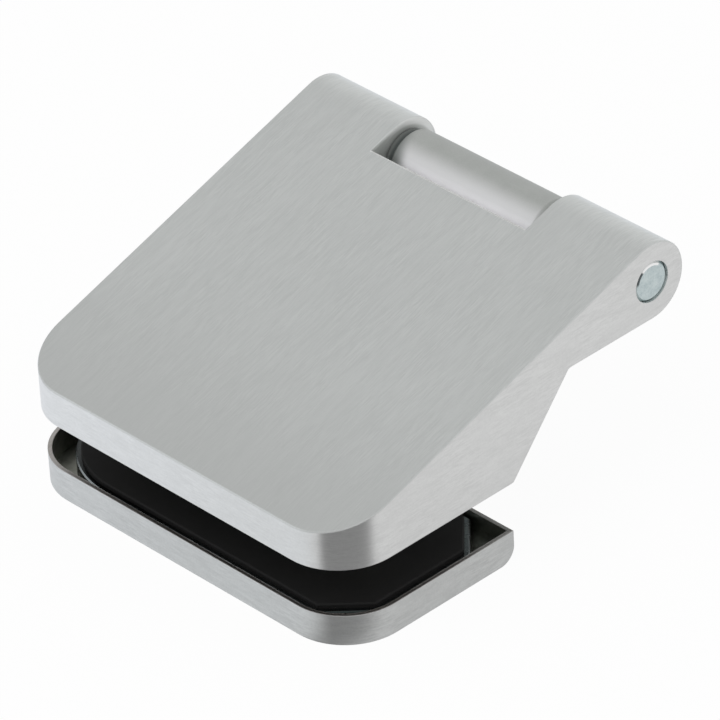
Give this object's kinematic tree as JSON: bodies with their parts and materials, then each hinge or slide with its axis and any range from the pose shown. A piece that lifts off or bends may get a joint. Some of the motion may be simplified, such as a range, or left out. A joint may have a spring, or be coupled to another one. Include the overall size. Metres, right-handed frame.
{
  "type": "glass door hinge",
  "caption": "Clamp-on hinge for a frameless glass door: a wedge-shaped body and a capped plate grip the pane, and a leaf on the pin carries it from the frame.",
  "frame": {"origin": "middle of the hinge's outline, on the outer face of the cover cap, which it lies on", "axes": "+Z square to the glass, from the cover cap to the body; +Y along the hinge pin; +X from the pin to the front edge"},
  "size_m": [0.0852, 0.084, 0.0482],
  "materials": {
    "body": "fine brushed grain, clear anodised",
    "cap": "fine brushed grain along its length",
    "plate": "dull zinc plating",
    "gasket": "smooth black rubber",
    "pin": "blue zinc plating, turned end",
    "barrel": "satin anodised, without grain",
    "bush": "moulded black",
    "screw": "zinc plated",
    "insert": "turned, plain",
    "sleeve": "moulded, natural colour",
    "spring": "rolled strip"
  },
  "bodies": {
    "clamp": {"hinge_body": "body", "body_gasket": "gasket", "clamp_gasket": "gasket", "clamp_plate": "plate", "cover_cap": "cap", "hinge_pin": "pin", "clamp_screw_1": "screw", "clamp_screw_2": "screw", "screw_insert_1": "insert", "screw_insert_2": "insert", "glass_sleeve_1": "sleeve", "glass_sleeve_2": "sleeve", "cap_spring_1": "spring", "cap_spring_2": "spring", "pin_lock_screw_1": "screw", "pin_lock_screw_2": "screw"},
    "frame_part": {"frame_leaf": "barrel", "barrel_bush_1": "bush", "barrel_bush_2": "bush"}
  },
  "joints": [
    {"name": "door_swing", "type": "hinge", "parent": "clamp", "child": "frame_part", "pos_m": [-0.03488, 0, 0.0405], "axis": [0, 1, 0], "range_deg": [0, 180]}
  ]
}
